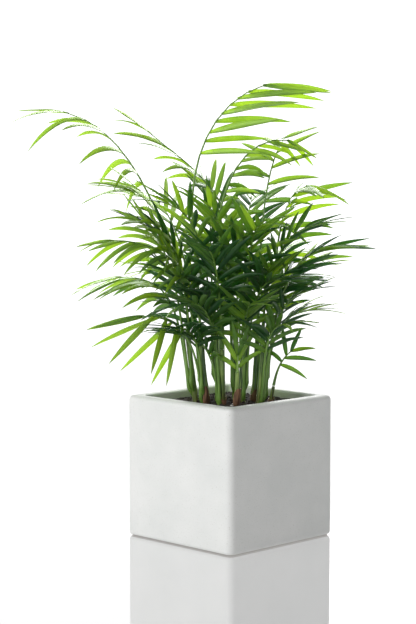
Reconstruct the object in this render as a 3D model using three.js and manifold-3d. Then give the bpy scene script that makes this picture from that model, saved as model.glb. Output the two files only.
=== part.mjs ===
// A parlour palm in a square ceramic pot: fourteen seedling palms planted as one clump.
//
// Millimetres, +Z up. The pot's faces are square to X and Y, and the origin is the middle of its underside.
// The clump is laid out in a planting frame, whose origin is the middle of the soil's surface and which is
// turned an eighth of a turn about +Z, so that the clump's wide side lies along the pot's diagonal.
//
// A palm is a stem that stands in the soil and the fronds that grow from it. A frond is one leaf: its stalk
// rises from the stem, arches over in an upright plane, and carries leaflets in pairs, the last at its end.

import * as THREE from "three";
import { mergeVertices } from "three/addons/utils/BufferGeometryUtils.js";
import Module from "manifold-3d";

const wasm = await Module();
wasm.setup();

// ---- Driving dimensions ----------------------------------------------------------------------------------

const POT_SIDE = 142;
const POT_HEIGHT = 137;
const POT_WALL = 12;
const POT_FLOOR = 14;
const POT_CORNER_RADIUS = 7; // of the upright outer edges
const POT_INNER_RADIUS = 5; // of the upright inner edges
const POT_EDGE_RADIUS = 4; // of the rim and the foot, outside
const RIM_CHAMFER = 2; // of the rim, inside

const SOIL_BELOW_RIM = 7;
const SOIL_CLEARANCE = 0.4; // between the soil and the pot, and between the soil and the stems
const STEM_PLANTED_DEPTH = 18;

const STALK_RADIUS = 1.5; // of a frond's stalk where it leaves the stem
const STALK_TIP_RADIUS = 0.55;
const STALK_STEPS = 9; // straight steps that a stalk's curve is made of
const GROWTH_GAP = 0.3; // the least space between two separate plant parts
const JOIN_TOLERANCE = 0.08; // how far a surface may move when its needless points are dropped

const LEAFLET_THICKNESS = 0.9; // from the flat upper side to the keel
const LEAFLET_LEAST_WIDTH = 3.2;
const LEAFLET_WIDTH_SHARE = 0.045; // of its length, on top of the least width

const LEAFLET_ROOT_SHARE = 0.1; // of its length, in which it widens from its narrow root
const LEAFLET_ROOT_WIDTH = 0.8; // of the stalk's thickness where it grows
const SHORTEST_LEAFLET = 0.74; // of the frond's longest
const LAST_PAIR_AT = 0.985; // of the stalk's length
const PAIR_STAGGER = 0.12; // of the way to the next pair, between the leaflets of a pair

const SAG = [1.2, 0.45]; // of the frond's usual droop, at the first pair and at the last
// How much one leaflet differs from the next at most: degrees, or a share.
const VARIED = { angle: 5, fold: 15, length: 0.08, droop: 0.4 };

const PLANTING_TURN_DEGREES = 45;

// ---- The planting ----------------------------------------------------------------------------------------

// Each stem: its foot on the soil, how far its top leans over, its height above the soil and its radius.
const STEMS = [
  { foot: [-33, -2], lean: [-8, -1], height: 66, radius: 3.0 },
  { foot: [-23, -17], lean: [-4, -4], height: 58, radius: 2.9 },
  { foot: [-22, 13], lean: [-9, 5], height: 70, radius: 3.1 },
  { foot: [-11, -3], lean: [-3, -1], height: 84, radius: 3.0 },
  { foot: [-7, -23], lean: [-1, -6], height: 54, radius: 2.8 },
  { foot: [-7, 24], lean: [-1, 7], height: 86, radius: 3.0 },
  { foot: [5, 5], lean: [1, 2], height: 92, radius: 3.2 },
  { foot: [6, -34], lean: [1, -3], height: 33, radius: 2.4 },
  { foot: [12, -14], lean: [3, -4], height: 70, radius: 2.9 },
  { foot: [11, 21], lean: [3, 7], height: 80, radius: 3.0 },
  { foot: [23, -2], lean: [4, -2], height: 72, radius: 3.0 },
  { foot: [27, -20], lean: [5, -5], height: 56, radius: 2.8 },
  { foot: [30, 14], lean: [8, 5], height: 74, radius: 2.9 },
  { foot: [39, -4], lean: [3, -1], height: 16, radius: 2.0 },
];

// Each frond: the stem it grows from, counted from 1; the compass direction it arches to, in degrees from the
// planting's +X; and its arch, three handles of a curve, each the distance out from its start and the height
// above the soil. Then, where they are not the usual: where on the stem it starts, from 0 at the soil to 1
// at the top; how many pairs of leaflets; the length of its longest; the share of the stalk before the first
// pair; the degrees its face is turned about the stalk and its leaflets are folded up from flat; how far
// their tips droop, as a share of their length; and their angle from the stalk, first pair and last.
const USUAL = { from: 1, pairs: 8, leaf: 58, bare: 0.42, roll: 0, fold: 8, droop: 0.3, spread: [60, 22] };
const FRONDS = [
  // the tall ones that stand over the clump
  { stem: 3, to: 177, arch: [[22, 130], [51, 262], [128, 279]],
    pairs: 5, leaf: 66, bare: 0.6, fold: -15, droop: 0.75, spread: [52, 14] },
  { stem: 4, to: 2, arch: [[-43, 185], [-22, 285], [49, 305]],
    pairs: 5, leaf: 80, bare: 0.65, fold: -62, droop: 0.12, spread: [62, 22] },
  { stem: 6, to: 180, arch: [[-43, 194], [44, 234], [69, 259]],
    pairs: 5, leaf: 60, bare: 0.55, fold: -15, droop: 0.45, spread: [42, 8] },
  { stem: 11, to: 62, arch: [[2, 162], [13, 228], [58, 256]],
    pairs: 6, leaf: 52, bare: 0.54, fold: -10, droop: 0.4, spread: [82, 40] },
  { stem: 7, to: 10, arch: [[-40, 150], [-10, 264], [53, 252]],
    pairs: 7, leaf: 38, bare: 0.5, fold: -50, droop: 0.4, spread: [60, 30] },
  { stem: 13, to: -50, arch: [[13, 101], [1, 201], [55, 209]],
    leaf: 60, bare: 0.42, fold: -45, spread: [66, 24] },
  // the outer ones, left
  { stem: 1, to: 180, arch: [[-3, 112], [20, 200], [53, 204]],
    leaf: 66, bare: 0.48, fold: -10, droop: 0.45, spread: [54, 14] },
  { stem: 2, to: 190, arch: [[2, 128], [31, 157], [86, 158]],
    leaf: 42, bare: 0.45, fold: -35, droop: 0.6, spread: [62, 14] },
  { stem: 1, to: 176, arch: [[10, 92], [15, 122], [67, 121]],
    from: 0.22, pairs: 8, leaf: 58, bare: 0.56, fold: -20, droop: 0.4 },
  { stem: 2, to: 205, arch: [[2, 60], [22, 90], [60, 87]],
    from: 0.1, pairs: 4, leaf: 68, bare: 0.64, fold: -60, droop: 0.08, spread: [116, 8] },
  { stem: 2, to: 160, arch: [[3, 90], [18, 130], [46, 162]],
    from: 0.4, pairs: 5, leaf: 62, bare: 0.5, fold: 30, droop: 0.04, spread: [18, 6] },
  { stem: 1, to: 212, arch: [[9, 100], [18, 160], [54, 176]],
    from: 0.4, leaf: 56, bare: 0.52, fold: -15, droop: 0.5 },
  // the outer ones, right
  { stem: 12, to: -8, arch: [[17, 81], [17, 144], [58, 151]],
    pairs: 6, leaf: 58, bare: 0.5, fold: -35, droop: 0.25, spread: [54, 12] },
  { stem: 13, to: 16, arch: [[5, 95], [18, 128], [43, 130]], from: 0.3, leaf: 50, bare: 0.58 },
  { stem: 12, to: -20, arch: [[5, 70], [16, 104], [42, 110]], from: 0.12, leaf: 42, bare: 0.6 },
  // the two young ones at the front and at the right, and a leaf in the middle that is still closed
  { stem: 8, to: -80, arch: [[0, 39], [1, 44], [3, 50]],
    pairs: 3, leaf: 46, bare: 0.2, fold: 20, spread: [50, 16] },
  { stem: 14, to: 0, arch: [[3, 32], [7, 42], [17, 50]],
    pairs: 3, leaf: 32, bare: 0.6, roll: 70, spread: [70, 24] },
  { stem: 4, to: 130, arch: [[2, 100], [4, 150], [6, 184]],
    from: 0.5, pairs: 2, leaf: 46, bare: 0.85, fold: 0, droop: 0, spread: [12, 6] },
  // the ones that fill the middle
  { stem: 3, to: 140, arch: [[12, 120], [28, 190], [70, 196]], from: 0.25, pairs: 8, bare: 0.59 },
  { stem: 5, to: -105, arch: [[2, 90], [12, 140], [44, 150]], bare: 0.44 },
  { stem: 9, to: -75, arch: [[2, 110], [10, 165], [44, 172]] },
  { stem: 10, to: 80, arch: [[2, 130], [14, 190], [56, 196]], pairs: 8, bare: 0.45 },
  { stem: 6, to: 110, arch: [[8, 110], [18, 160], [56, 160]], from: 0.05, bare: 0.62 },
  { stem: 10, to: 50, arch: [[3, 100], [20, 145], [62, 140]], from: 0.15, bare: 0.59 },
  { stem: 9, to: -50, arch: [[2, 90], [14, 125], [48, 122]], from: 0.3, bare: 0.56 },
  { stem: 5, to: -130, arch: [[2, 70], [14, 105], [48, 100]], from: 0.08, bare: 0.57 },
  { stem: 7, to: 124, arch: [[4, 140], [16, 200], [50, 214]], from: 0.2, pairs: 8, bare: 0.62 },
  { stem: 4, to: 215, arch: [[2, 130], [14, 185], [52, 192]], from: 0.33, bare: 0.61 },
  { stem: 11, to: -30, arch: [[2, 105], [14, 160], [52, 170]], from: 0.12, bare: 0.59 },
  { stem: 3, to: 205, arch: [[3, 90], [14, 150], [50, 168]], from: 0.26, bare: 0.53 },
  { stem: 4, to: -60, arch: [[3, 95], [10, 150], [40, 160]], from: 0.06, bare: 0.56 },
  { stem: 7, to: -120, arch: [[3, 110], [12, 170], [44, 190]], from: 0.18, bare: 0.56 },
  { stem: 13, to: 60, arch: [[4, 80], [20, 120], [56, 116]], from: 0.3, bare: 0.52 },
  { stem: 11, to: 10, arch: [[3, 80], [14, 120], [46, 130]], from: 0.1, leaf: 50, bare: 0.55 },
  { stem: 6, to: 165, arch: [[4, 90], [20, 130], [60, 126]], from: 0.24, bare: 0.54 },
  { stem: 4, to: 250, arch: [[2, 64], [8, 96], [34, 104]], from: 0.05, leaf: 50, bare: 0.59 },
  { stem: 9, to: 278, arch: [[4, 64], [8, 92], [34, 98]], from: 0.15, leaf: 50, bare: 0.56 },
  { stem: 2, to: 236, arch: [[2, 52], [8, 74], [38, 76]], from: 0.28, leaf: 48, bare: 0.51 },
  { stem: 1, to: 246, arch: [[2, 84], [10, 120], [36, 126]], from: 0.3, bare: 0.5 },
  { stem: 13, to: -84, arch: [[2, 80], [8, 118], [34, 128]], from: 0.25, bare: 0.52 },
  { stem: 5, to: -168, arch: [[2, 42], [10, 66], [34, 68]], from: 0.08, leaf: 48, bare: 0.5 },
  { stem: 12, to: 302, arch: [[5, 50], [8, 76], [34, 80]], from: 0.1, leaf: 50, bare: 0.54 },
  { stem: 10, to: 100, arch: [[2, 70], [10, 104], [40, 108]], from: 0.2, leaf: 52, bare: 0.54 },
  { stem: 13, to: 345, arch: [[2, 52], [10, 84], [40, 88]], from: 0.07, leaf: 48, bare: 0.56 },
].map((frond) => ({ ...USUAL, ...frond }));

// ---- Small helpers ---------------------------------------------------------------------------------------

const radians = THREE.MathUtils.degToRad;
const { lerp } = THREE.MathUtils;
const UP = new THREE.Vector3(0, 0, 1);

// A repeatable variation from -1 to 1, another one for each whole number.
function variation(n) {
  const s = Math.sin(n * 127.1 + 311.7) * 43758.5453;
  return 2 * (s - Math.floor(s)) - 1;
}

// A closed three.js geometry as a solid that can be cut and joined.
function solidOf(geometry) {
  const bare = geometry.clone();
  bare.deleteAttribute("normal");
  bare.deleteAttribute("uv");
  const merged = mergeVertices(bare, 1e-4);
  return new wasm.Manifold(
    new wasm.Mesh({
      numProp: 3,
      vertProperties: merged.attributes.position.array,
      triVerts: new Uint32Array(merged.index.array),
    }),
  );
}

function geometryOf(solid) {
  const mesh = solid.getMesh();
  const points = new Float32Array(mesh.numVert * 3);
  for (let i = 0; i < mesh.numVert; i++) {
    points.set(mesh.vertProperties.subarray(i * mesh.numProp, i * mesh.numProp + 3), i * 3);
  }
  const geometry = new THREE.BufferGeometry();
  geometry.setAttribute("position", new THREE.BufferAttribute(points, 3));
  geometry.setIndex(new THREE.BufferAttribute(mesh.triVerts, 1));
  const flat = geometry.toNonIndexed();
  flat.computeVertexNormals();
  return flat;
}

// A bar along a line: a cylinder whose points are moved to their places round the line. frameAt(u) gives the
// line's point, side and up at u from 0 to 1, and across(u) and through(u) how far the corners reach from it.
// grown moves its faces and its end outward by that much.
function bar(frameAt, across, through, sides, steps, pointed, grown) {
  const cornerGrowth = grown / Math.cos(Math.PI / sides);
  const geometry = new THREE.CylinderGeometry(pointed ? 0 : 1, 1, 1, sides, steps);
  const place = geometry.attributes.position;
  for (let i = 0; i < place.count; i++) {
    const u = place.getY(i) + 0.5;
    const radius = Math.hypot(place.getX(i), place.getZ(i));
    const x = radius > 1e-6 ? place.getX(i) / radius : 0;
    const z = radius > 1e-6 ? place.getZ(i) / radius : 0;
    const { point, side, up } = frameAt(u);
    const moved = point.clone();
    moved.addScaledVector(side, x * (across(u) + cornerGrowth));
    moved.addScaledVector(up, -z * (through(u) + cornerGrowth));
    if (u === 1) moved.addScaledVector(side.clone().cross(up), grown);
    place.setXYZ(i, moved.x, moved.y, moved.z);
  }
  return solidOf(geometry);
}

// ---- Pot and soil ----------------------------------------------------------------------------------------

function roundedSquare(side, radius) {
  const h = side / 2;
  const c = h - radius;
  const shape = new THREE.Shape();
  shape.moveTo(h, -c);
  shape.lineTo(h, c);
  shape.absarc(c, c, radius, 0, Math.PI / 2);
  shape.absarc(-c, c, radius, Math.PI / 2, Math.PI);
  shape.absarc(-c, -c, radius, Math.PI, Math.PI * 1.5);
  shape.absarc(c, -c, radius, Math.PI * 1.5, Math.PI * 2);
  return shape;
}

// A square block with rounded upright edges, from z = bottom to z = top. edge rounds its top and bottom.
function block(side, radius, bottom, top, edge) {
  const geometry = new THREE.ExtrudeGeometry(roundedSquare(side, radius), {
    depth: top - bottom - 2 * edge,
    curveSegments: 5,
    bevelEnabled: edge > 0,
    bevelThickness: edge,
    bevelSize: edge,
    bevelOffset: -edge,
    bevelSegments: 3,
  });
  geometry.translate(0, 0, bottom + edge);
  return solidOf(geometry);
}

const cavitySide = POT_SIDE - 2 * POT_WALL;
const soilTop = POT_HEIGHT - SOIL_BELOW_RIM;

function pot() {
  const ABOVE = 10; // how far the cutters run past the rim
  const outside = block(POT_SIDE, POT_CORNER_RADIUS, 0, POT_HEIGHT, POT_EDGE_RADIUS);
  const cavity = block(cavitySide, POT_INNER_RADIUS, POT_FLOOR, POT_HEIGHT + ABOVE, 0);
  const chamfer = new THREE.ExtrudeGeometry(roundedSquare(cavitySide, POT_INNER_RADIUS), {
    depth: ABOVE,
    curveSegments: 5,
    bevelThickness: RIM_CHAMFER,
    bevelSize: RIM_CHAMFER,
    bevelSegments: 1,
  });
  chamfer.translate(0, 0, POT_HEIGHT);
  return outside.subtract(cavity).subtract(solidOf(chamfer));
}

function soil(stemPockets) {
  const fill = block(
    cavitySide - 2 * SOIL_CLEARANCE,
    POT_INNER_RADIUS - SOIL_CLEARANCE,
    POT_FLOOR + SOIL_CLEARANCE,
    soilTop,
    0,
  );
  return stemPockets.reduce((left, pocket) => left.subtract(pocket), fill);
}

// ---- Stems -----------------------------------------------------------------------------------------------

// The point at a height above the soil on a stem's middle line, in the planting frame.
function stemPoint(stem, height) {
  const share = height / stem.height;
  return new THREE.Vector3(stem.foot[0] + stem.lean[0] * share, stem.foot[1] + stem.lean[1] * share, height);
}

// A stem narrows a little from the soil to its top. grown makes it that much larger all round.
function stemSolid(stem, grown) {
  const TOP_SHARE = 0.8;
  const low = stemPoint(stem, -STEM_PLANTED_DEPTH - grown);
  const high = stemPoint(stem, stem.height);
  const side = new THREE.Vector3(1, 0, 0);
  const up = new THREE.Vector3(0, 1, 0);
  const frameAt = (u) => ({ point: low.clone().lerp(high, u), side, up });
  const radius = (u) => stem.radius * lerp(1, TOP_SHARE, u);
  return bar(frameAt, radius, radius, 7, 2, false, grown);
}

// ---- Fronds ----------------------------------------------------------------------------------------------

// The stalk's curve and its frame. It arches in the upright plane that faces the compass direction `to`.
function stalkOf(frond, to) {
  const stem = STEMS[frond.stem - 1];
  const outward = new THREE.Vector3(Math.cos(radians(to)), Math.sin(radians(to)), 0);
  const atTop = frond.from === 1;
  const start = stemPoint(stem, stem.height * frond.from);
  if (atTop) start.z += GROWTH_GAP;
  else start.addScaledVector(outward, stem.radius + STALK_RADIUS + 2 * GROWTH_GAP);
  const handle = ([out, height]) =>
    new THREE.Vector3(start.x + outward.x * out, start.y + outward.y * out, height);
  const curve = new THREE.CubicBezierCurve3(start, ...frond.arch.map(handle));
  const level = new THREE.Vector3(-outward.y, outward.x, 0);
  const joints = curve.getSpacedPoints(STALK_STEPS);
  const frameAt = (u) => {
    const step = Math.min(STALK_STEPS - 1, Math.floor(u * STALK_STEPS + 1e-6));
    const point = joints[step].clone().lerp(joints[step + 1], u * STALK_STEPS - step);
    const liesFlat = atTop && u === 0; // its foot, on the stem's flat top
    const along = liesFlat ? UP.clone() : curve.getTangentAt(u);
    return { point, along, side: level.clone(), up: along.clone().cross(level) };
  };
  return { frameAt, radius: (u) => lerp(STALK_RADIUS, STALK_TIP_RADIUS, u) };
}

function stalkSolid(stalk, grown) {
  return bar(stalk.frameAt, stalk.radius, stalk.radius, 4, STALK_STEPS, false, grown);
}

// A leaflet's length as a share of the frond's longest, by how far its pair is from the first to the last.
function fullness(along) {
  return lerp(SHORTEST_LEAFLET, 1, Math.sin(Math.PI * lerp(0.15, 0.9, along)));
}

// One leaflet: a flat-topped blade with a keel. k counts the pairs from 0, and hand is 1 or -1 for its side
// of the stalk. turned folds it up from its usual direction, in degrees, so that it can pass its neighbours,
// and size shortens it.
function leafletSolid(frond, stalk, k, hand, number, turned, size, grown) {
  const along = k / (frond.pairs - 1);
  const stagger = k < frond.pairs - 1 ? (PAIR_STAGGER * hand) / frond.pairs : 0;
  const u0 = Math.min(LAST_PAIR_AT, lerp(frond.bare, LAST_PAIR_AT, along) + stagger);
  const node = stalk.frameAt(u0);
  const roll = radians(frond.roll);
  const side = node.side.clone().multiplyScalar(Math.cos(roll)).addScaledVector(node.up, Math.sin(roll));
  const up = node.up.clone().multiplyScalar(Math.cos(roll)).addScaledVector(node.side, -Math.sin(roll));
  const angle = radians(lerp(...frond.spread, along) + VARIED.angle * variation(number));
  const fold = radians(frond.fold + VARIED.fold * variation(number + 0.5) + turned);
  const out = node.along.clone().multiplyScalar(Math.cos(angle));
  out.addScaledVector(side, Math.sin(angle) * Math.cos(fold) * hand);
  out.addScaledVector(up, Math.sin(angle) * Math.sin(fold));
  const face = out.clone().cross(node.along).multiplyScalar(hand).normalize();

  const length = frond.leaf * fullness(along) * (1 + VARIED.length * variation(number + 0.25)) * size;
  const halfWidth = (LEAFLET_LEAST_WIDTH + LEAFLET_WIDTH_SHARE * length) / 2;
  const sag = lerp(...SAG, along) + VARIED.droop * variation(number + 0.75);
  const droop = frond.droop * sag * Math.hypot(out.x, out.y);
  const frameAt = (u) => {
    const point = node.point.clone().addScaledVector(out, length * u);
    point.addScaledVector(UP, -length * droop * u * u);
    const tangent = out.clone().addScaledVector(UP, -2 * droop * u).normalize();
    const level = face.clone().addScaledVector(tangent, -face.dot(tangent)).normalize();
    return { point, side: level.clone().cross(tangent), up: level };
  };
  const rootWidth = LEAFLET_ROOT_WIDTH * stalk.radius(u0);
  const isRoot = (u) => u < LEAFLET_ROOT_SHARE;
  const cornerReach = Math.cos(Math.PI / 6); // a triangle's half width over its radius
  const keelReach = 1.5; // a triangle's depth over its radius
  const across = (u) => (isRoot(u) ? rootWidth : halfWidth) / cornerReach;
  const through = (u) => ((isRoot(u) ? 0.5 : 1) * LEAFLET_THICKNESS) / keelReach;
  return bar(frameAt, across, through, 3, 2, true, grown);
}

// ---- Growing the clump, part by part, each clear of those before it ---------------------------------------

const grown = []; // { owner, solid, box }

function addGrown(owner, solid) {
  grown.push({ owner, solid, box: solid.boundingBox() });
}

function isClear(owner, solid) {
  const box = solid.boundingBox();
  return grown.every(
    (other) =>
      other.owner === owner ||
      [0, 1, 2].some((i) => box.min[i] > other.box.max[i] || box.max[i] < other.box.min[i]) ||
      solid.intersect(other.solid).volume() < 1e-6,
  );
}

const name = (stem, part) => `palm_${String(stem).padStart(2, "0")}_${part}`;

// A solid taken from the pot's frame to the planting's, or the other way.
const toPlanting = (solid) => solid.translate([0, 0, -soilTop]).rotate([0, 0, -PLANTING_TURN_DEGREES]);
const fromPlanting = (solid) => solid.rotate([0, 0, PLANTING_TURN_DEGREES]).translate([0, 0, soilTop]);

const potSolid = pot();
addGrown("pot", toPlanting(potSolid));

const stemSolids = STEMS.map((stem) => stemSolid(stem, 0));
stemSolids.forEach((solid, i) => addGrown(name(i + 1, "stem"), solid));
const soilSolid = soil(STEMS.map((stem) => fromPlanting(stemSolid(stem, SOIL_CLEARANCE))));
addGrown("soil", toPlanting(soilSolid));

// A stalk that would run into another turns a few degrees to one side or the other.
const TURN_STEP = 4;
const TURNS = [0];
for (let turn = TURN_STEP; turn < 180; turn += TURN_STEP) TURNS.push(turn, -turn);

const counts = STEMS.map(() => 0);
const stalks = FRONDS.map((frond) => {
  counts[frond.stem - 1] += 1;
  const owner = name(frond.stem, `frond_${counts[frond.stem - 1]}`);
  const turn = TURNS.find((t) => isClear(owner, stalkSolid(stalkOf(frond, frond.to + t), GROWTH_GAP)));
  if (turn === undefined) throw new Error(`${owner} has no room for its stalk`);
  const stalk = stalkOf(frond, frond.to + turn);
  addGrown(owner, stalkSolid(stalk, 0));
  return { frond, owner, stalk };
});

// A leaflet that would run into another lifts or drops, then grows shorter, and is left out if all fail.
const LEAFLET_SIZES = [1, 0.8, 0.6];
const LEAFLET_TURNS = [0, 8, -8, 16, -16, 26, -26, 38, -38];
const LEAFLET_TRIES = LEAFLET_SIZES.flatMap((size) => LEAFLET_TURNS.map((turned) => ({ size, turned })));
const frondSolids = stalks.map(({ frond, owner, stalk }, f) => {
  let solid = stalkSolid(stalk, 0);
  for (let k = 0; k < frond.pairs; k++) {
    for (const hand of [1, -1]) {
      const number = f * 100 + k * 2 + (hand > 0 ? 1 : 0);
      const fits = LEAFLET_TRIES.find(({ size, turned }) =>
        isClear(owner, leafletSolid(frond, stalk, k, hand, number, turned, size, GROWTH_GAP)),
      );
      if (!fits) continue;
      const leaflet = leafletSolid(frond, stalk, k, hand, number, fits.turned, fits.size, 0);
      addGrown(owner, leaflet);
      solid = solid.add(leaflet);
    }
  }
  return { owner, solid: solid.asOriginal().simplify(JOIN_TOLERANCE) };
});

// ---- The object ------------------------------------------------------------------------------------------

const glaze = new THREE.MeshStandardMaterial({ color: 0xdfe1dd, roughness: 0.55, metalness: 0 });
const peat = new THREE.MeshStandardMaterial({ color: 0x2a2622, roughness: 1, metalness: 0 });
const stalkGreen = new THREE.MeshStandardMaterial({ color: 0x5d7f3a, roughness: 0.6, metalness: 0 });
const leafGreen = new THREE.MeshStandardMaterial({ color: 0x3f7a24, roughness: 0.45, metalness: 0 });

function mesh(meshName, solid, material) {
  const made = new THREE.Mesh(geometryOf(solid), material.clone());
  made.name = meshName;
  return made;
}

const pottedPalm = new THREE.Group();
pottedPalm.add(mesh("ceramic_pot", potSolid, glaze));
pottedPalm.add(mesh("potting_soil", soilSolid, peat));

const planting = new THREE.Group();
planting.position.z = soilTop;
planting.rotation.z = radians(PLANTING_TURN_DEGREES);
stemSolids.forEach((solid, i) => planting.add(mesh(name(i + 1, "stem"), solid, stalkGreen)));
frondSolids.forEach(({ owner, solid }) => planting.add(mesh(owner, solid, leafGreen)));
pottedPalm.add(planting);

export default pottedPalm;
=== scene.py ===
import math
import random

import bmesh
import bpy
from mathutils import Matrix, Vector, noise
from mathutils.geometry import interpolate_bezier


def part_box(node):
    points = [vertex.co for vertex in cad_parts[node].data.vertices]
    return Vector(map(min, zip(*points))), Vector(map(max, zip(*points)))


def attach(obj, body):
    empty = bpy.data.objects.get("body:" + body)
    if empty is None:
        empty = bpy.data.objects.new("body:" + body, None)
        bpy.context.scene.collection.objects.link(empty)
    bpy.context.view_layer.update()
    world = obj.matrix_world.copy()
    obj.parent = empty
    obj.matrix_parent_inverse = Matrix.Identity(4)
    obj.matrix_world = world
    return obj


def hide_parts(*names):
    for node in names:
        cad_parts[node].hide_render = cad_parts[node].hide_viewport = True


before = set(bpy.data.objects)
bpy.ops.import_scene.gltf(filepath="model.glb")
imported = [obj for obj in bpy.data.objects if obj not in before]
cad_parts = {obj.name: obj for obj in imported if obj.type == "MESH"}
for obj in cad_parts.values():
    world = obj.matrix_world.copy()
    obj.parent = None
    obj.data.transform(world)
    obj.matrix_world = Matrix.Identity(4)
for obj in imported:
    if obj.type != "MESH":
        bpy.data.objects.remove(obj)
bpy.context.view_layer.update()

# ---- Camera ----------------------------------------------------------------------------------------------
# A long lens, level with the leaves and a little way round from the pot's near corner. It looks slightly
# down, so that both faces of the pot, the rim and a strip of the soil are seen.

CAMERA_AZIMUTH = math.radians(44.68)
CAMERA_TILT = math.radians(-4.89)
CAMERA_DISTANCE = 1.703
CAMERA_HEIGHT = 0.363

lens = bpy.data.cameras.new("camera")
lens.sensor_width = 36
lens.lens = 102.4
lens.shift_x = -0.0352
lens.clip_end = 100
camera = bpy.data.objects.new("camera", lens)
camera.location = (
    CAMERA_DISTANCE * math.sin(CAMERA_AZIMUTH),
    -CAMERA_DISTANCE * math.cos(CAMERA_AZIMUTH),
    CAMERA_HEIGHT,
)
camera.rotation_euler = (math.pi / 2 + CAMERA_TILT, 0, CAMERA_AZIMUTH)
bpy.context.collection.objects.link(camera)
bpy.context.scene.camera = camera

# ---- Studio ----------------------------------------------------------------------------------------------
# A white room: a polished white table, a large soft light high on the left, a broad bright one behind that
# is kept off the pot and shines through the leaves, and weak ones in front and behind.

ROOM_LIGHT = 0.13  # strength of the room's white as light
ROOM_WHITE = 1.4  # and as it is seen, directly or in a reflection
TABLE_HALF = 15
TABLE_GAP = 0.0002  # between the pot's foot and the table
LIT_POINT = Vector((0, 0, 0.2))

bpy.context.scene.view_settings.view_transform = "Standard"


class Nodes:
    """Adds shader nodes to one tree, and links them."""

    def __init__(self, tree):
        self.tree = tree

    def add(self, kind, settings=None, **values):
        """A new node. A value goes to the input that has its name, with spaces for the underscores."""
        node = self.tree.nodes.new(kind)
        for key, value in (settings or {}).items():
            setattr(node, key, value)
        for key, value in values.items():
            self.put(node.inputs[key.replace("_", " ")], value)
        return node

    def put(self, socket, value):
        """Links an output to a socket, or sets the socket's own value."""
        if isinstance(value, bpy.types.NodeSocket):
            self.tree.links.new(value, socket)
        else:
            socket.default_value = value

    def calculate(self, operation, *values):
        """What a math node makes of its values."""
        node = self.add("ShaderNodeMath", {"operation": operation})
        for socket, value in zip(node.inputs, values):
            self.put(socket, value)
        return node.outputs[0]

    def ramp(self, factor, low, high):
        """A colour between two. Each of them is a place on the ramp and a colour."""
        node = self.add("ShaderNodeValToRGB", Fac=factor)
        for element, (position, colour) in zip(node.color_ramp.elements, (low, high)):
            element.position = position
            element.color = (*colour, 1)
        return node.outputs[0]

    def mix(self, factor, first, second):
        """A colour mixed from two."""
        node = self.add("ShaderNodeMix", {"data_type": "RGBA"}, Factor=factor, A=first, B=second)
        return node.outputs["Result"]


def make_material(name):
    """An empty material, its node adder and its output node."""
    material = bpy.data.materials.new(name)
    material.use_nodes = True
    material.node_tree.nodes.clear()
    nodes = Nodes(material.node_tree)
    return material, nodes, nodes.add("ShaderNodeOutputMaterial")


def make_world():
    """White to the eye and in reflections, and dimmer as light, so that the side lights shape the pot."""
    world = bpy.data.worlds.new("white_room")
    world.use_nodes = True
    world.node_tree.nodes.clear()
    nodes = Nodes(world.node_tree)
    path = nodes.add("ShaderNodeLightPath")
    seen = nodes.calculate("MAXIMUM", path.outputs["Is Camera Ray"], path.outputs["Is Glossy Ray"])
    strength = nodes.add("ShaderNodeMapRange", To_Min=ROOM_LIGHT, To_Max=ROOM_WHITE, Value=seen)
    light = nodes.add("ShaderNodeBackground", Color=(1, 1, 1, 1), Strength=strength.outputs[0])
    nodes.add("ShaderNodeOutputWorld", Surface=light.outputs[0])
    bpy.context.scene.world = world


make_world()

table_white, nodes, output = make_material("table_white")
table_shader = nodes.add(
    "ShaderNodeBsdfPrincipled",
    Base_Color=(0.4, 0.4, 0.4, 1),
    Metallic=0.75,
    Roughness=0.04,
    Emission_Color=(1, 1, 1, 1),
    Emission_Strength=0.3,
)
nodes.put(output.inputs["Surface"], table_shader.outputs[0])

bm = bmesh.new()
bmesh.ops.create_grid(bm, x_segments=1, y_segments=1, size=TABLE_HALF)
bmesh.ops.translate(bm, vec=(0, 0, -TABLE_GAP), verts=bm.verts)
table_mesh = bpy.data.meshes.new("table")
bm.to_mesh(table_mesh)
bm.free()
table_mesh.materials.append(table_white)
table = bpy.data.objects.new("table", table_mesh)
bpy.context.collection.objects.link(table)


def add_softbox(name, azimuth, distance, height, size, power):
    """A square area light at an azimuth round the plant, facing its lower leaves."""
    light = bpy.data.lights.new(name, "AREA")
    light.size = size
    light.energy = power
    lamp = bpy.data.objects.new(name, light)
    lamp.visible_camera = False
    turn = math.radians(azimuth)
    lamp.location = (distance * math.sin(turn), -distance * math.cos(turn), height)
    aim = LIT_POINT - lamp.location
    lamp.rotation_euler = aim.to_track_quat("-Z", "Y").to_euler()
    bpy.context.collection.objects.link(lamp)
    return lamp


add_softbox("key_left", azimuth=-12, distance=1.8, height=1.2, size=1.4, power=29)
add_softbox("fill_front", azimuth=58, distance=2.0, height=0.9, size=1.2, power=4)
add_softbox("fill_back", azimuth=205, distance=2.0, height=1.2, size=1.6, power=22)
back_wide = add_softbox("back_wide", azimuth=225, distance=1.8, height=1.1, size=2.0, power=185)
back_lit = bpy.data.collections.new("back_lit")  # the pieces that it shines on: the stems and the fronds
back_wide.light_linking.receiver_collection = back_lit

# ---- Pot -------------------------------------------------------------------------------------------------
# A thick slip-cast stoneware cube with a satin white glaze. Its upright edges are well rounded, and its rim
# and foot a little, as the mould leaves them. The bottom millimetre is painted dark brown: partly the
# unglazed foot, partly painted contact shade where the pot meets the table.

CORNER_RADIUS = 0.007
INNER_RADIUS = 0.005
RIM_RADIUS = 0.0045
INNER_RIM_RADIUS = 0.0025
FOOT_RADIUS = 0.0042
SOIL_CLEARANCE = 0.0004
POT_FLOOR = 0.014
SAME_LEVEL = 1e-5

pot_low, pot_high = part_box("ceramic_pot")
soil_low, soil_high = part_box("potting_soil")
pot_side = pot_high.x - pot_low.x
cavity_side = soil_high.x - soil_low.x + 2 * SOIL_CLEARANCE


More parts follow.
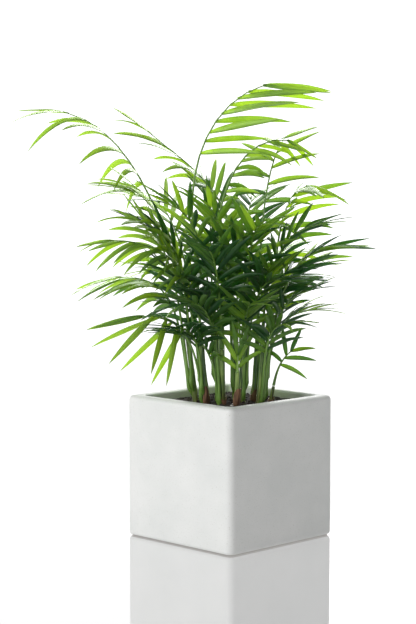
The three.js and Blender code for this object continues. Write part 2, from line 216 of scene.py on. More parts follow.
def extruded(bm, lid, is_first=False):
    """Extrudes a lid in place and returns the new one. The old one goes, unless it is a tube's first."""
    made = bmesh.ops.extrude_face_region(bm, geom=[lid])["geom"]
    if lid.is_valid and not is_first:
        bmesh.ops.delete(bm, geom=[lid], context="FACES_ONLY")
    return next(g for g in made if isinstance(g, bmesh.types.BMFace))


def moved_corner(place, from_side, from_radius, to_side, to_radius):
    """Where a point of one rounded square's outline lies on another rounded square's."""
    offset = place - math.copysign(from_side / 2 - from_radius, place)
    return math.copysign(to_side / 2 - to_radius, place) + offset * to_radius / from_radius


def loop_edges(bm, z, inside):
    """The level edges at a height, inside or outside the wall's middle."""
    middle = (pot_side + cavity_side) / 4
    level = [e for e in bm.edges if all(abs(v.co.z - z) < SAME_LEVEL for v in e.verts)]
    return [e for e in level if all((max(abs(v.co.x), abs(v.co.y)) < middle) == inside for v in e.verts)]


def add_piece(name, bm, materials, node):
    """Turns a finished bmesh into an object that stands for a node of the frame."""
    mesh = bpy.data.meshes.new(name)
    bm.to_mesh(mesh)
    bm.free()
    for material in materials:
        mesh.materials.append(material)
    mesh.shade_smooth()
    piece = bpy.data.objects.new(name, mesh)
    bpy.context.collection.objects.link(piece)
    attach(piece, "root")
    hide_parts(node)
    return piece


def make_glaze():
    """Satin white glaze: faint clouds where it lies thicker, fine specks, a soft orange-peel surface."""
    material, nodes, output = make_material("white_glaze")
    place = nodes.add("ShaderNodeTexCoord").outputs["Object"]
    clouds = nodes.add("ShaderNodeTexNoise", Vector=place, Scale=22, Detail=5, Roughness=0.6)
    tint = nodes.ramp(clouds.outputs[0], (0.3, (0.70, 0.715, 0.70)), (0.7, (0.78, 0.785, 0.77)))
    specks = nodes.add("ShaderNodeTexNoise", Vector=place, Scale=900, Detail=1)
    speck = nodes.add("ShaderNodeMapRange", Value=specks.outputs[0], From_Min=0.66, From_Max=0.74)
    glazed = nodes.mix(speck.outputs[0], tint, (0.58, 0.58, 0.54, 1))
    # Painted shade: the bottom millimetre turns dark brown, partly the unglazed foot, partly painted contact
    # shade under the pot.
    height = nodes.add("ShaderNodeSeparateXYZ", Vector=place).outputs["Z"]
    foot_band_and_contact_shade = nodes.add("ShaderNodeMapRange", Value=height, From_Min=0.0011, From_Max=0.0007)
    colour = nodes.mix(foot_band_and_contact_shade.outputs[0], glazed, (0.2, 0.15, 0.11, 1))
    sheen = nodes.add("ShaderNodeMapRange", Value=clouds.outputs[0], To_Min=0.5, To_Max=0.34)
    peel = nodes.add("ShaderNodeTexNoise", Vector=place, Scale=160, Detail=3)
    bump = nodes.add("ShaderNodeBump", Strength=0.12, Distance=0.0006, Height=peel.outputs[0])
    shader = nodes.add(
        "ShaderNodeBsdfPrincipled",
        Base_Color=colour,
        Roughness=sheen.outputs[0],
        Normal=bump.outputs[0],
    )
    nodes.put(output.inputs["Surface"], shader.outputs[0])
    return material


softened = {"profile": 0.5, "affect": "EDGES", "material": -1}
bm = bmesh.new()
bmesh.ops.create_cube(bm, size=1)
bmesh.ops.scale(bm, vec=(pot_side, pot_side, pot_high.z - pot_low.z), verts=bm.verts)
bmesh.ops.translate(bm, vec=(0, 0, (pot_low.z + pot_high.z) / 2), verts=bm.verts)
upright = [e for e in bm.edges if abs(e.verts[0].co.z - e.verts[1].co.z) > pot_side / 2]
bmesh.ops.bevel(bm, geom=upright, offset=CORNER_RADIUS, segments=10, **softened)
lid = max(bm.faces, key=lambda f: f.calc_center_median().z)
lid = extruded(bm, lid)
for vert in lid.verts:
    for axis in (0, 1):
        vert.co[axis] = moved_corner(vert.co[axis], pot_side, CORNER_RADIUS, cavity_side, INNER_RADIUS)
lid = extruded(bm, lid)
for vert in lid.verts:
    vert.co.z = POT_FLOOR
for z, inside, radius in (
    (pot_high.z, False, RIM_RADIUS),
    (pot_high.z, True, INNER_RIM_RADIUS),
    (pot_low.z, False, FOOT_RADIUS),
):
    bmesh.ops.bevel(bm, geom=loop_edges(bm, z, inside), offset=radius, segments=5, **softened)
bmesh.ops.recalc_face_normals(bm, faces=bm.faces)
pot = add_piece("glazed_pot", bm, [make_glaze()], "ceramic_pot")
pot.modifiers.new("even_shading", "WEIGHTED_NORMAL")

# ---- Soil ------------------------------------------------------------------------------------------------
# Moist peat mix that fills the pot to just under the rim. Its top is uneven and a little heaped round the
# stems, and loose crumbs of peat, bark and white perlite lie on it.

SOIL_CELLS = 46
SOIL_SUNK = 0.0006  # below the frame's soil, so that the heap ends a little above it
SOIL_HEAP = 0.0022
SOIL_HEAP_RADIUS = 0.045
SOIL_LUMPS = 0.0016
LUMPS_PER_METRE = 130
SOIL_IN_WALL = 0.0002  # so that no gap shows between the soil and the pot
CRUMBS = 420
CRUMB_RADII = (0.0006, 0.0019)
CRUMB_MARGIN = 0.003
PERLITE_SHARE = 0.02

soil_top = soil_high.z
soil_half = cavity_side / 2 + SOIL_IN_WALL


def soil_height(x, y):
    """How high the soil stands at a place."""
    heap = SOIL_HEAP * max(0.0, 1 - (x * x + y * y) / SOIL_HEAP_RADIUS**2)
    lumps = noise.fractal(Vector((x, y, 0)) * LUMPS_PER_METRE, 0.7, 2.0, 5)
    return soil_top - SOIL_SUNK + heap + SOIL_LUMPS * lumps


def make_soil_material():
    """Near-black peat with browner fibres. The white of the perlite is a tone on its own crumbs."""
    material, nodes, output = make_material("peat")
    place = nodes.add("ShaderNodeTexCoord").outputs["Object"]
    grains = nodes.add("ShaderNodeTexNoise", Vector=place, Scale=700, Detail=8, Roughness=0.7)
    earth = nodes.ramp(grains.outputs[0], (0.35, (0.008, 0.006, 0.005)), (0.72, (0.035, 0.022, 0.014)))
    tone = nodes.add("ShaderNodeAttribute", {"attribute_name": "tone"})
    colour = nodes.mix(tone.outputs["Fac"], earth, (0.62, 0.6, 0.55, 1))
    bump = nodes.add("ShaderNodeBump", Strength=0.8, Distance=0.0012, Height=grains.outputs[0])
    shader = nodes.add("ShaderNodeBsdfPrincipled", Base_Color=colour, Roughness=0.92, Normal=bump.outputs[0])
    nodes.put(output.inputs["Surface"], shader.outputs[0])
    return material


bm = bmesh.new()
tone = bm.verts.layers.float.new("tone")
bmesh.ops.create_grid(bm, x_segments=SOIL_CELLS, y_segments=SOIL_CELLS, size=soil_half)
raised = bmesh.ops.extrude_face_region(bm, geom=list(bm.faces))
top_verts = {g for g in raised["geom"] if isinstance(g, bmesh.types.BMVert)}
arc_middle = soil_half - INNER_RADIUS
for vert in bm.verts:
    over = Vector((abs(vert.co.x) - arc_middle, abs(vert.co.y) - arc_middle))
    if min(over) > 0 and over.length > INNER_RADIUS:
        over *= INNER_RADIUS / over.length
        vert.co.x = math.copysign(arc_middle + over.x, vert.co.x)
        vert.co.y = math.copysign(arc_middle + over.y, vert.co.y)
    vert.co.z = soil_height(vert.co.x, vert.co.y) if vert in top_verts else soil_low.z
bmesh.ops.recalc_face_normals(bm, faces=bm.faces)
dice = random.Random(7)
for _ in range(CRUMBS):
    x, y = (dice.uniform(-1, 1) * (soil_half - CRUMB_MARGIN) for _ in range(2))
    size = dice.uniform(*CRUMB_RADII)
    place = Matrix.Translation((x, y, soil_height(x, y) + 0.3 * size))
    turn = Matrix.Rotation(dice.uniform(0, math.tau), 4, "Z")
    turn @= Matrix.Rotation(dice.uniform(-0.5, 0.5), 4, "X")
    shape = Matrix.Diagonal((size * dice.uniform(0.8, 1.8), size, size * dice.uniform(0.4, 0.8), 1))
    crumb = bmesh.ops.create_icosphere(bm, subdivisions=1, radius=1, matrix=place @ turn @ shape)
    is_perlite = dice.random() < PERLITE_SHARE
    for vert in crumb["verts"]:
        vert.co += Vector((dice.uniform(-1, 1), dice.uniform(-1, 1), 0)) * size * 0.2
        vert[tone] = 1.0 if is_perlite else 0.0
add_piece("peat_soil", bm, [make_soil_material()], "potting_soil")

# ---- Stems -----------------------------------------------------------------------------------------------
# Fourteen young palm stems. Each is a stack of leaf sheaths rolled tightly round one another: smooth, green,
# a little wider at the top of each sheath, with a scar where it ends. Dead sheaths dry brown at the foot.

MM = 0.001
PLANTING = Matrix.Translation((0, 0, soil_top)) @ Matrix.Rotation(math.radians(45), 4, "Z")
PLANTED_DEPTH = 18
STEM_TOP_SHARE = 0.8
SHEATH_LENGTH = 17  # how much of the stem one sheath covers
STEM_SIDES = 12
DRY_SHEATH_SIDES = 10
DRY_SHEATH_HEIGHT = 14
DRY_SHEATH_THICKNESS = 0.3
DRY_SHEATH_SUNK = 2
DRY_SHEATH_FOOT = 1.12  # its radius in the soil, beside the stem's
DRY_SHEATH_TOP = 1.55  # and at its torn edge

# foot on the soil, lean of the top, height and radius, in millimetres in the planting's own frame
STEMS = [
    ((-33, -2), (-8, -1), 66, 3.0),
    ((-23, -17), (-4, -4), 58, 2.9),
    ((-22, 13), (-9, 5), 70, 3.1),
    ((-11, -3), (-3, -1), 84, 3.0),
    ((-7, -23), (-1, -6), 54, 2.8),
    ((-7, 24), (-1, 7), 86, 3.0),
    ((5, 5), (1, 2), 92, 3.2),
    ((6, -34), (1, -3), 33, 2.4),
    ((12, -14), (3, -4), 70, 2.9),
    ((11, 21), (3, 7), 80, 3.0),
    ((23, -2), (4, -2), 72, 3.0),
    ((27, -20), (5, -5), 56, 2.8),
    ((30, 14), (8, 5), 74, 2.9),
    ((39, -4), (3, -1), 16, 2.0),
]


def variation(n):
    """A repeatable variation from -1 to 1, another one for each number."""
    s = math.sin(n * 127.1 + 311.7) * 43758.5453
    return 2 * (s - math.floor(s)) - 1


def stem_point(stem, height):
    """The point on a stem's middle line at a height above the soil."""
    (x, y), (lean_x, lean_y), full, _ = STEMS[stem - 1]
    share = height / full
    return Vector((x + lean_x * share, y + lean_y * share, height))


def ring_place(point, side, up, radius):
    """The matrix that takes a unit circle to a ring round a point, square to side and up."""
    along = side.cross(up)
    columns = (*(axis.to_4d() * radius for axis in (side, up)), along.to_4d(), point.to_4d())
    place = Matrix(columns).transposed()
    place[3] = (0, 0, 0, 1)
    return place


def add_tube(bm, sides, places):
    """A closed tube: a disc extruded from ring to ring."""
    disc = bmesh.ops.create_circle(bm, cap_ends=True, segments=sides, radius=1, matrix=places[0])
    face = disc["verts"][0].link_faces[0]
    made = set(disc["verts"])
    for k in range(1, len(places)):
        face = extruded(bm, face, is_first=k == 1)
        bmesh.ops.transform(bm, matrix=places[k] @ places[k - 1].inverted(), verts=face.verts)
        made.update(face.verts)
    bmesh.ops.recalc_face_normals(bm, faces=list({f for v in made for f in v.link_faces}))


def make_fibres():
    """The effect that stems, dead sheaths and stalks share: fine lines that run upwards."""
    group = bpy.data.node_groups.new("fibres", "ShaderNodeTree")
    for name, kind in (("Place", "Vector"), ("Scale", "Float"), ("Stretch", "Float")):
        group.interface.new_socket(name=name, in_out="INPUT", socket_type=f"NodeSocket{kind}")
    group.interface.new_socket(name="Lines", in_out="OUTPUT", socket_type="NodeSocketFloat")
    nodes = Nodes(group)
    given = nodes.add("NodeGroupInput").outputs
    pull = nodes.add("ShaderNodeCombineXYZ", X=1, Y=1, Z=given["Stretch"])
    pulled = nodes.add("ShaderNodeMapping", Vector=given["Place"], Scale=pull.outputs[0])
    lines = nodes.add("ShaderNodeTexNoise", Vector=pulled.outputs[0], Scale=given["Scale"], Detail=4)
    nodes.add("NodeGroupOutput", Lines=lines.outputs[0])
    return group


def make_stem_green():
    """Smooth green sheaths with darker and paler lines along them, purple-brown near the soil."""
    material, nodes, output = make_material("sheath_green")
    place = nodes.add("ShaderNodeTexCoord").outputs["Object"]
    fine = nodes.add("ShaderNodeGroup", {"node_tree": fibres}, Place=place, Scale=420, Stretch=0.05)
    lines = fine.outputs[0]
    green = nodes.ramp(lines, (0.4, (0.025, 0.075, 0.012)), (0.62, (0.27, 0.4, 0.09)))
    height = nodes.add("ShaderNodeSeparateXYZ", Vector=place).outputs["Z"]
    low = nodes.add("ShaderNodeMapRange", Value=height, From_Min=soil_top + 0.02, From_Max=soil_top)
    patches = nodes.add("ShaderNodeTexNoise", Vector=place, Scale=160, Detail=3)
    brown = nodes.calculate("MULTIPLY", low.outputs[0], patches.outputs[0])
    colour = nodes.mix(brown, green, (0.13, 0.06, 0.03, 1))
    bump = nodes.add("ShaderNodeBump", Strength=0.35, Distance=0.0004, Height=lines)
    shader = nodes.add("ShaderNodeBsdfPrincipled", Base_Color=colour, Roughness=0.42, Normal=bump.outputs[0])
    nodes.put(output.inputs["Surface"], shader.outputs[0])
    return material


def make_dry_sheath():
    """Papery dead sheath: straw to red-brown, in ragged fibres."""
    material, nodes, output = make_material("dry_sheath")
    place = nodes.add("ShaderNodeTexCoord").outputs["Object"]
    fine = nodes.add("ShaderNodeGroup", {"node_tree": fibres}, Place=place, Scale=600, Stretch=0.04)
    lines = fine.outputs[0]
    straw = nodes.ramp(lines, (0.35, (0.06, 0.025, 0.012)), (0.7, (0.26, 0.14, 0.07)))
    bump = nodes.add("ShaderNodeBump", Strength=0.7, Distance=0.0005, Height=lines)
    shader = nodes.add("ShaderNodeBsdfPrincipled", Base_Color=straw, Roughness=0.8, Normal=bump.outputs[0])
    nodes.put(output.inputs["Surface"], shader.outputs[0])
    return material


def add_dry_sheath(bm, stem, radius, tall, number):
    """A torn sheath round the foot of a stem: an open cone, ragged at the top, standing a little off it."""
    cone = bmesh.ops.create_cone(bm, segments=DRY_SHEATH_SIDES, radius1=1, radius2=1, depth=1)
    torn = [v for v in cone["verts"] if v.co.z > 0]
    for vert in cone["verts"]:
        turn = math.atan2(vert.co.y, vert.co.x)
        k = round(turn / math.tau * DRY_SHEATH_SIDES)
        rise = -DRY_SHEATH_SUNK
        spread = DRY_SHEATH_FOOT
        if vert in torn:
            rise = tall * (0.6 + 0.4 * variation(number + k))
            spread = DRY_SHEATH_TOP + 0.15 * variation(number + k + 50)
        outward = Vector((math.cos(turn), math.sin(turn), 0))
        vert.co = stem_point(stem, rise) + outward * (radius * spread)
    faces = list({f for v in cone["verts"] for f in v.link_faces})
    skin = bmesh.ops.solidify(bm, geom=faces, thickness=DRY_SHEATH_THICKNESS)
    for face in faces + [g for g in skin["geom"] if isinstance(g, bmesh.types.BMFace)]:
        face.material_index = 1


fibres = make_fibres()
stem_materials = [make_stem_green(), make_dry_sheath()]
for stem, (_, _, full, radius) in enumerate(STEMS, start=1):
    bm = bmesh.new()
    heights = [-PLANTED_DEPTH, -1]
    widths = [1.0, 1.0]
    sheaths = max(1, round(full / SHEATH_LENGTH))
    for k in range(sheaths):  # each has a scar, a waist, a middle and a wide top
        bottom, top = (full * (k + share) / sheaths for share in (0, 1))
        heights += [bottom, bottom + 1.0, (bottom + top) / 2, top - 0.8]
        widths += [0.97, 0.93, 0.96, 1.0]
    heights.append(full)
    widths.append(0.95)
    places = []
    side, up = Vector((1, 0, 0)), Vector((0, 1, 0))
    for height, width in zip(heights, widths):
        taper = 1 - (1 - STEM_TOP_SHARE) * max(0, height) / full
        places.append(ring_place(stem_point(stem, height), side, up, radius * taper * width))
    add_tube(bm, STEM_SIDES, places)
    if stem % 3 == 2:  # a dead sheath is left on every third stem
        add_dry_sheath(bm, stem, radius, DRY_SHEATH_HEIGHT + 8 * variation(stem), stem * 10)
    bmesh.ops.transform(bm, matrix=PLANTING @ Matrix.Scale(MM, 4), verts=bm.verts)
    stem_piece = add_piece(f"stem_{stem:02d}", bm, stem_materials, f"palm_{stem:02d}_stem")
    back_lit.objects.link(stem_piece)

# ---- Fronds ----------------------------------------------------------------------------------------------
# Each frond is one leaf: a ribbed green stalk that rises from a stem and arches over, with narrow pointed
# leaflets in pairs along it and a forked pair at its end. The blades are thin, and light shines through them.

STALK_RADIUS = 1.5
STALK_TIP_RADIUS = 0.55
STALK_RINGS = 16
STALK_SIDES = 8
CLASP_DEPTH = 13  # how far below its start a side stalk comes out of its stem
GROWTH_GAP = 0.3  # between a stalk and its stem in the frame's parts
LEAFLET_LEAST_WIDTH = 3.2
LEAFLET_WIDTH_SHARE = 0.045
BLADE_THICKNESS = 0.3
LEAFLET_CELLS = 9  # along a leaflet
LAST_PAIR = 0.985  # the share of the stalk's length where the forked pair grows
STAGGER = 0.12  # how far the two leaflets of a pair are set apart along the stalk
STALK_FOOT = 0.12  # the share of the stalk's length over which it widens to its foot
CLASP_WIDTH = 1.35  # of a side stalk's foot, beside the stalk's own
KEEL = 0.28  # how far a blade's edges lie below its midrib, as a share of its half width
RIPPLE = 0.12  # how far they wave from there, as the same share
SPREAD_VARIES = 5
LIFT_VARIES = 15
TWIST_VARIES = 18
LENGTH_VARIES = 0.08
TONE_VARIES = 0.35
NUMBERS = 100  # each frond's leaflets are numbered in a hundred of its own
# The leaflets' painted light and shade is measured from this middle: darker near it, paler and yellower far
# out.
CLUMP_MIDDLE = Vector((0, 0, 120))
CLUMP_REACH = 130  # from there to the outer leaflets

# What a frond is where its row doesn't say otherwise. Angles are in degrees and lengths in millimetres.
USUAL = {
    "from": 1,  # the share of the stem's height at which it starts
    "pairs": 8,  # how many pairs of leaflets it has
    "leaf": 58,  # the length of its longest leaflets
    "bare": 0.42,  # the share of the stalk below its first pair
    "roll": 0,  # how far its leaflets are turned round the stalk
    "fold": 8,  # how far they are lifted
    "droop": 0.3,  # how far they hang, as a share of their length
    "spread": (60, 22),  # their angle to the stalk, at the first and at the last pair
    # The next share is partly a frond's own paler young green and partly painted backlight glow.
    "fresh_and_backlit": 0,  # how much paler and yellower they are than others there
}
# Which stem, the direction, and the arch's three handles: distance out and height above the soil.
FRONDS = [
    # the tall ones that stand over the clump
    (3, 177, ((22, 130), (51, 262), (128, 279)),
     {"pairs": 5, "leaf": 66, "bare": 0.6, "fold": -15, "droop": 0.75, "spread": (52, 14)}),
    (4, 2, ((-43, 185), (-22, 285), (49, 305)),
     {"pairs": 5, "leaf": 80, "bare": 0.65, "fold": -62, "droop": 0.12, "spread": (62, 22), "fresh_and_backlit": 0.4}),
    (6, 180, ((-43, 194), (44, 234), (69, 259)),
     {"pairs": 5, "leaf": 60, "bare": 0.55, "fold": -15, "droop": 0.45, "spread": (42, 8)}),
    (11, 62, ((2, 162), (13, 228), (58, 256)),
     {"pairs": 6, "leaf": 52, "bare": 0.54, "fold": -10, "droop": 0.4, "spread": (82, 40)}),
    (7, 10, ((-40, 150), (-10, 264), (53, 252)),
     {"pairs": 7, "leaf": 38, "bare": 0.5, "fold": -50, "droop": 0.4, "spread": (60, 30)}),
    (13, -50, ((13, 101), (1, 201), (55, 209)),
     {"leaf": 60, "fold": -45, "spread": (66, 24), "fresh_and_backlit": 0.25}),
    # the outer ones, left
    (1, 180, ((-3, 112), (20, 200), (53, 204)),
     {"leaf": 66, "bare": 0.48, "fold": -10, "droop": 0.45, "spread": (54, 14)}),
    (2, 190, ((2, 128), (31, 157), (86, 158)),
     {"leaf": 42, "bare": 0.45, "fold": -35, "droop": 0.6, "spread": (62, 14)}),
    (1, 176, ((10, 92), (15, 122), (67, 121)),
     {"from": 0.22, "bare": 0.56, "fold": -20, "droop": 0.4}),
    (2, 205, ((2, 60), (22, 90), (60, 87)),
     {"from": 0.1, "pairs": 4, "leaf": 68, "bare": 0.64, "fold": -60, "droop": 0.08, "spread": (116, 8),
      "fresh_and_backlit": 0.3}),
    (2, 160, ((3, 90), (18, 130), (46, 162)),
     {"from": 0.4, "pairs": 5, "leaf": 62, "bare": 0.5, "fold": 30, "droop": 0.04, "spread": (18, 6),
      "fresh_and_backlit": 0.8}),
    (1, 212, ((9, 100), (18, 160), (54, 176)),
     {"from": 0.4, "leaf": 56, "bare": 0.52, "fold": -15, "droop": 0.5, "fresh_and_backlit": 0.3}),
    # the outer ones, right
    (12, -8, ((17, 81), (17, 144), (58, 151)),
     {"pairs": 6, "bare": 0.5, "fold": -35, "droop": 0.25, "spread": (54, 12)}),
    (13, 16, ((5, 95), (18, 128), (43, 130)), {"from": 0.3, "leaf": 50, "bare": 0.58}),
    (12, -20, ((5, 70), (16, 104), (42, 110)), {"from": 0.12, "leaf": 42, "bare": 0.6}),
    # the two young ones at the front and at the right, and a leaf in the middle that is still closed
    (8, -80, ((0, 39), (1, 44), (3, 50)),
     {"pairs": 3, "leaf": 46, "bare": 0.2, "fold": 20, "spread": (50, 16), "fresh_and_backlit": 0.3}),
    (14, 0, ((3, 32), (7, 42), (17, 50)),
     {"pairs": 3, "leaf": 32, "bare": 0.6, "roll": 70, "spread": (70, 24), "fresh_and_backlit": 0.3}),
    (4, 130, ((2, 100), (4, 150), (6, 184)),
     {"from": 0.5, "pairs": 2, "leaf": 46, "bare": 0.85, "fold": 0, "droop": 0, "spread": (12, 6)}),
    # the ones that fill the middle
    (3, 140, ((12, 120), (28, 190), (70, 196)), {"from": 0.25, "bare": 0.59}),
    (5, -105, ((2, 90), (12, 140), (44, 150)), {"bare": 0.44}),
    (9, -75, ((2, 110), (10, 165), (44, 172)), {}),
    (10, 80, ((2, 130), (14, 190), (56, 196)), {"bare": 0.45}),
    (6, 110, ((8, 110), (18, 160), (56, 160)), {"from": 0.05, "bare": 0.62}),
    (10, 50, ((3, 100), (20, 145), (62, 140)), {"from": 0.15, "bare": 0.59}),
    (9, -50, ((2, 90), (14, 125), (48, 122)), {"from": 0.3, "bare": 0.56}),
    (5, -130, ((2, 70), (14, 105), (48, 100)), {"from": 0.08, "bare": 0.57}),
    (7, 124, ((4, 140), (16, 200), (50, 214)), {"from": 0.2, "bare": 0.62}),
    (4, 215, ((2, 130), (14, 185), (52, 192)), {"from": 0.33, "bare": 0.61}),
    (11, -30, ((2, 105), (14, 160), (52, 170)), {"from": 0.12, "bare": 0.59}),
    (3, 205, ((3, 90), (14, 150), (50, 168)), {"from": 0.26, "bare": 0.53}),
    (4, -60, ((3, 95), (10, 150), (40, 160)), {"from": 0.06, "bare": 0.56}),
    (7, -120, ((3, 110), (12, 170), (44, 190)), {"from": 0.18, "bare": 0.56}),
    (13, 60, ((4, 80), (20, 120), (56, 116)), {"from": 0.3, "bare": 0.52}),
    (11, 10, ((3, 80), (14, 120), (46, 130)), {"from": 0.1, "leaf": 50, "bare": 0.55}),
    (6, 165, ((4, 90), (20, 130), (60, 126)), {"from": 0.24, "bare": 0.54}),
    (4, 250, ((2, 64), (8, 96), (34, 104)), {"from": 0.05, "leaf": 50, "bare": 0.59}),
    (9, 278, ((4, 64), (8, 92), (34, 98)), {"from": 0.15, "leaf": 50, "bare": 0.56}),
    (2, 236, ((2, 52), (8, 74), (38, 76)), {"from": 0.28, "leaf": 48, "bare": 0.51}),
    (1, 246, ((2, 84), (10, 120), (36, 126)), {"from": 0.3, "bare": 0.5}),
    (13, -84, ((2, 80), (8, 118), (34, 128)), {"from": 0.25, "bare": 0.52}),
    (5, -168, ((2, 42), (10, 66), (34, 68)), {"from": 0.08, "leaf": 48, "bare": 0.5}),
    (12, 302, ((5, 50), (8, 76), (34, 80)), {"from": 0.1, "leaf": 50, "bare": 0.54}),
    (10, 100, ((2, 70), (10, 104), (40, 108)), {"from": 0.2, "leaf": 52, "bare": 0.54}),
    (13, 345, ((2, 52), (10, 84), (40, 88)), {"from": 0.07, "leaf": 48, "bare": 0.56}),
]

ARCH_POINTS = 200


class Arch:
    """A stalk's curve, with its point and its frame at any share of its length."""

    def __init__(self, stem, to, handles, start_share):
        _, _, full, radius = STEMS[stem - 1]
        turn = math.radians(to)
        self.outward = Vector((math.cos(turn), math.sin(turn), 0))
        self.side = Vector((-self.outward.y, self.outward.x, 0))
        self.at_top = start_share == 1
        start = stem_point(stem, full * start_share)
        if self.at_top:
            start.z += GROWTH_GAP
        else:
            start += self.outward * (radius + STALK_RADIUS + 2 * GROWTH_GAP)
        knots = [Vector((start.x, start.y, 0)) + self.outward * out + Vector((0, 0, z)) for out, z in handles]
        self.points = interpolate_bezier(start, *knots, ARCH_POINTS)
        self.lengths = [0.0]
        for before, after in zip(self.points, self.points[1:]):
            self.lengths.append(self.lengths[-1] + (after - before).length)

    def at(self, share):
        """The point, the direction along, and the upper side, at a share of the length."""
        wanted = share * self.lengths[-1]
        k = next(k for k in range(1, ARCH_POINTS) if self.lengths[k] >= wanted - 1e-9)
        before, after = self.points[k - 1], self.points[k]
        part = (wanted - self.lengths[k - 1]) / (self.lengths[k] - self.lengths[k - 1])
        along = (after - before).normalized()
        return before.lerp(after, part), along, along.cross(self.side)


def stalk_radius(share):
    """A stalk's radius at a share of its length."""
    return STALK_RADIUS + (STALK_TIP_RADIUS - STALK_RADIUS) * share


def add_stalk(bm, arch, stem, start_share):
    """A stalk that widens at its foot, where it wraps the stem that it grows from."""
    _, _, full, radius = STEMS[stem - 1]
    foot = radius * STEM_TOP_SHARE if arch.at_top else STALK_RADIUS * CLASP_WIDTH
    places = []
    if not arch.at_top:
        inside = stem_point(stem, full * start_share - CLASP_DEPTH)
        places.append(ring_place(inside, -arch.outward, arch.side, 0.6 * foot))
    for k in range(STALK_RINGS + 1):
        share = (k / STALK_RINGS) ** 1.3
        point, along, up = arch.at(share)
        if k == 0 and arch.at_top:
            along, up = Vector((0, 0, 1)), -arch.outward
        flare = max(0.0, 1 - share / STALK_FOOT) ** 2
        width = stalk_radius(share) * (1 - flare) + foot * flare
        places.append(ring_place(point, up, arch.side, width))
    add_tube(bm, STALK_SIDES, places)


def blade_width(u):
    """A leaflet's half width along it, as a share of the widest: widest past a third, with a long tip."""
    return 2.15 * (u + 0.03) ** 0.5 * (1 - u) ** 0.78


def add_leaflet(bm, tone, frond, arch, k, hand, number):
    """One leaflet: a strip folded along its midrib, bent down by its weight, with a tone that is partly
    painted light and shade.
    """
    along_stalk = k / (frond["pairs"] - 1)
    stagger = 0 if k == frond["pairs"] - 1 else STAGGER * hand / frond["pairs"]
    share = min(LAST_PAIR, frond["bare"] + (LAST_PAIR - frond["bare"]) * along_stalk + stagger)
    point, along, up = arch.at(share)
    roll = math.radians(frond["roll"])
    side = arch.side * math.cos(roll) + up * math.sin(roll)
    up = up * math.cos(roll) - arch.side * math.sin(roll)
    first, last = frond["spread"]
    angle = math.radians(first + (last - first) * along_stalk + SPREAD_VARIES * variation(number))
    lift = math.radians(frond["fold"] + LIFT_VARIES * variation(number + 0.5))
    out = along * math.cos(angle)
    out += side * math.sin(angle) * math.cos(lift) * hand + up * math.sin(angle) * math.sin(lift)
    face = out.cross(along).normalized() * hand

    # The pairs halfway are the longest and the lowest hang the most. The outermost are painted paler and
    # yellower as painted backlight, and those near the clump's middle darker as painted shade.
    fullness = 0.74 + 0.26 * math.sin(math.pi * (0.15 + 0.75 * along_stalk))
    length = frond["leaf"] * fullness * (1 + LENGTH_VARIES * variation(number + 0.25))
    half_width = (LEAFLET_LEAST_WIDTH + LEAFLET_WIDTH_SHARE * length) / 2
    sag = 1.2 - 0.75 * along_stalk + 0.4 * variation(number + 0.75)
    droop = frond["droop"] * sag * math.hypot(out.x, out.y)
    twist = math.radians(TWIST_VARIES) * variation(number + 0.6)
    # The tone is partly painted light and shade: it rises with the distance from the clump's middle, so inner
    # leaflets are painted darker as shade and outer ones paler and yellower as backlight, with each frond's
    # share and random variation on top.
    reach = (point + out * length / 2 - CLUMP_MIDDLE).length / CLUMP_REACH
    differs = TONE_VARIES * variation(number + 0.9) + TONE_VARIES * variation(number // NUMBERS)
    tone_with_painted_light = frond["fresh_and_backlit"] + 0.75 * reach - 0.18 + differs
    made = bmesh.ops.create_grid(bm, x_segments=2, y_segments=LEAFLET_CELLS, size=0.5, calc_uvs=True)
    for vert in made["verts"]:
        u = vert.co.y + 0.5
        v = vert.co.x * 2
        tangent = (out - Vector((0, 0, 2 * droop * u))).normalized()
        level = (face - tangent * face.dot(tangent)).normalized()
        level.rotate(Matrix.Rotation(twist * u, 3, tangent))
        across = level.cross(tangent)
        wide = half_width * max(0.02, blade_width(u))
        ripple = RIPPLE * math.sin(u * 9 + number) * v
        vert.co = point + out * length * u - Vector((0, 0, length * droop * u * u))
        vert.co += across * wide * v - level * wide * (KEEL * abs(v) + ripple * abs(v))
        vert[tone] = min(1.0, max(0.0, tone_with_painted_light))
    return {f for v in made["verts"] for f in v.link_faces}


def make_stalk_green():
    """A fresh green stalk, paler and yellower than the blades, with fine lines."""
    material, nodes, output = make_material("stalk_green")
    place = nodes.add("ShaderNodeTexCoord").outputs["Object"]
    fine = nodes.add("ShaderNodeGroup", {"node_tree": fibres}, Place=place, Scale=500, Stretch=0.1)
    lines = fine.outputs[0]
    green = nodes.ramp(lines, (0.3, (0.07, 0.17, 0.018)), (0.7, (0.2, 0.36, 0.06)))
    bump = nodes.add("ShaderNodeBump", Strength=0.3, Distance=0.0003, Height=lines)
    shader = nodes.add("ShaderNodeBsdfPrincipled", Base_Color=green, Roughness=0.4, Normal=bump.outputs[0])
    nodes.put(output.inputs["Surface"], shader.outputs[0])
    return material


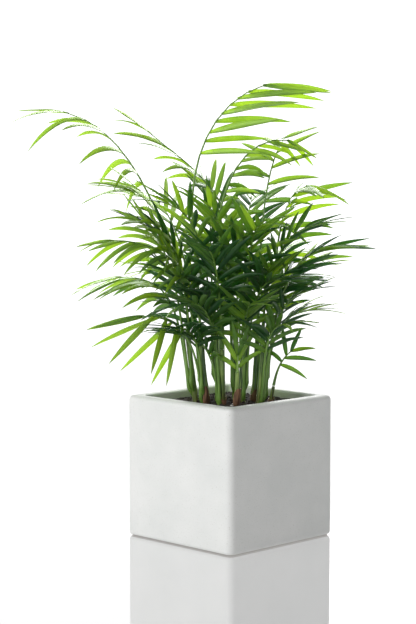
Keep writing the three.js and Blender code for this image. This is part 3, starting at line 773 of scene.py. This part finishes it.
def make_blade_green():
    """A satin green blade with close parallel veins and a pale midrib. Light shines through it."""
    material, nodes, output = make_material("blade_green")
    place = nodes.add("ShaderNodeTexCoord")
    across = nodes.add("ShaderNodeSeparateXYZ", Vector=place.outputs["UV"])
    tone = nodes.add("ShaderNodeAttribute", {"attribute_name": "tone"})
    mottle = nodes.add("ShaderNodeTexNoise", Vector=place.outputs["Object"], Scale=60, Detail=4)
    # The tone carries painted shade and painted backlight. It sets both the blade's own green and the green
    # that light shines through.
    mixed = nodes.calculate("MULTIPLY_ADD", mottle.outputs[0], 0.5, tone.outputs["Fac"])
    green = nodes.ramp(mixed, (0.1, (0.012, 0.08, 0.028)), (1.0, (0.13, 0.29, 0.055)))
    stretched = nodes.add("ShaderNodeMapping", Vector=place.outputs["UV"], Scale=(34, 0.8, 1))
    veins = nodes.add("ShaderNodeTexNoise", Vector=stretched.outputs[0], Scale=1, Detail=2)
    distance = nodes.calculate("ABSOLUTE", nodes.calculate("SUBTRACT", across.outputs["X"], 0.5))
    midrib = nodes.add("ShaderNodeMapRange", Value=distance, From_Min=0.07, From_Max=0.02)
    colour = nodes.mix(midrib.outputs[0], green, (0.13, 0.27, 0.05, 1))
    height = nodes.calculate("ADD", veins.outputs[0], midrib.outputs[0])
    bump = nodes.add("ShaderNodeBump", Strength=0.5, Distance=0.0004, Height=height)
    shader = nodes.add("ShaderNodeBsdfPrincipled", Base_Color=colour, Roughness=0.32, Normal=bump.outputs[0])
    lit = nodes.ramp(mixed, (0.1, (0.05, 0.2, 0.04)), (1.0, (0.58, 0.74, 0.12)))
    through = nodes.add("ShaderNodeBsdfTranslucent", Color=lit)
    both = nodes.add("ShaderNodeMixShader", Fac=0.56)
    nodes.put(both.inputs[1], shader.outputs[0])
    nodes.put(both.inputs[2], through.outputs[0])
    nodes.put(output.inputs["Surface"], both.outputs[0])
    return material


frond_materials = [make_stalk_green(), make_blade_green()]
fronds_on = dict.fromkeys(range(1, len(STEMS) + 1), 0)
for index, (stem, to, handles, special) in enumerate(FRONDS):
    frond = {**USUAL, **special}
    fronds_on[stem] += 1
    arch = Arch(stem, to, handles, frond["from"])
    bm = bmesh.new()
    tone = bm.verts.layers.float.new("tone")
    blades = set()
    for k in range(frond["pairs"]):
        for hand in (1, -1):
            number = index * NUMBERS + 2 * k + (hand > 0)
            blades |= add_leaflet(bm, tone, frond, arch, k, hand, number)
    bmesh.ops.solidify(bm, geom=list(blades), thickness=BLADE_THICKNESS)
    for face in bm.faces:
        face.material_index = 1
    add_stalk(bm, arch, stem, frond["from"])
    bmesh.ops.transform(bm, matrix=PLANTING @ Matrix.Scale(MM, 4), verts=bm.verts)
    node = f"palm_{stem:02d}_frond_{fronds_on[stem]}"
    frond_piece = add_piece(f"frond_{stem:02d}_{fronds_on[stem]}", bm, frond_materials, node)
    back_lit.objects.link(frond_piece)
